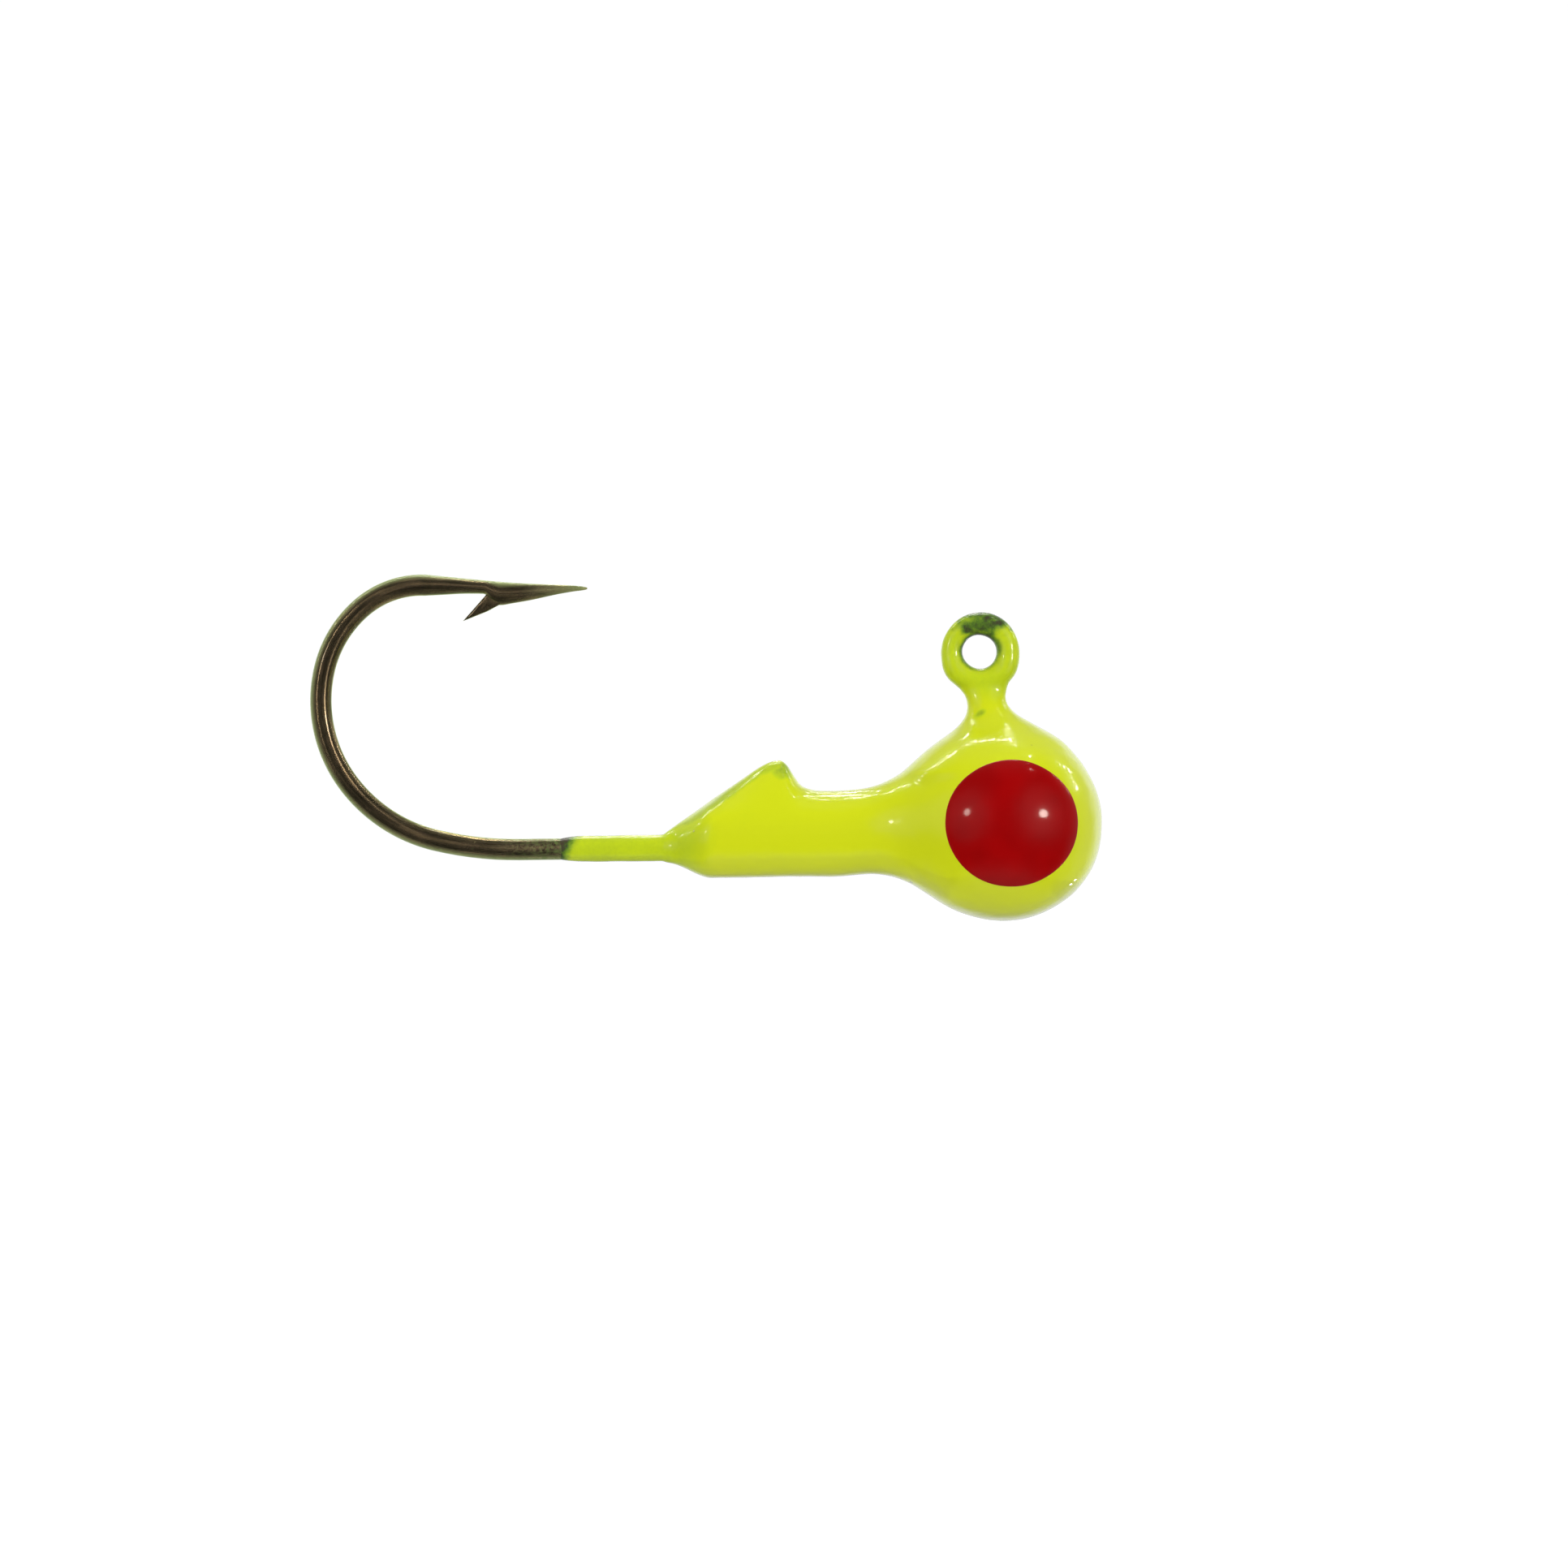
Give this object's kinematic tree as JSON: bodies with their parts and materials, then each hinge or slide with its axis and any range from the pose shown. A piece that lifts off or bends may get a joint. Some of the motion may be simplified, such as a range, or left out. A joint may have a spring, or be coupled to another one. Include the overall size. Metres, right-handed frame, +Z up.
{
  "type": "jig head",
  "caption": "Round-head fishing jig: a coated lead ball with a collar and barbed bait keeper on a bronzed hook, a line eye on top and a domed red eye spot on each side.",
  "frame": {"origin": "centre of the hole in the line eye", "axes": "+X towards the nose of the head, away from the hook bend; +Z up, from the head to the line eye; Y across, the object is symmetric about Y = 0"},
  "size_m": [0.0255, 0.0064, 0.0112],
  "materials": {
    "hook_bronze": "dark bronzed steel wire, satin, with a gloss on the round of the wire",
    "cast_lead": "dull grey cast lead",
    "chartreuse_coat": "glossy chartreuse coating, thin and greenish where the bronze shows through",
    "red_enamel": "glossy deep red enamel, slightly domed"
  },
  "bodies": {
    "root": {"hook": "hook_bronze", "head_casting": "cast_lead", "paint_coat": "chartreuse_coat", "eye_spot_right": "red_enamel", "eye_spot_left": "red_enamel"}
  },
  "joints": []
}
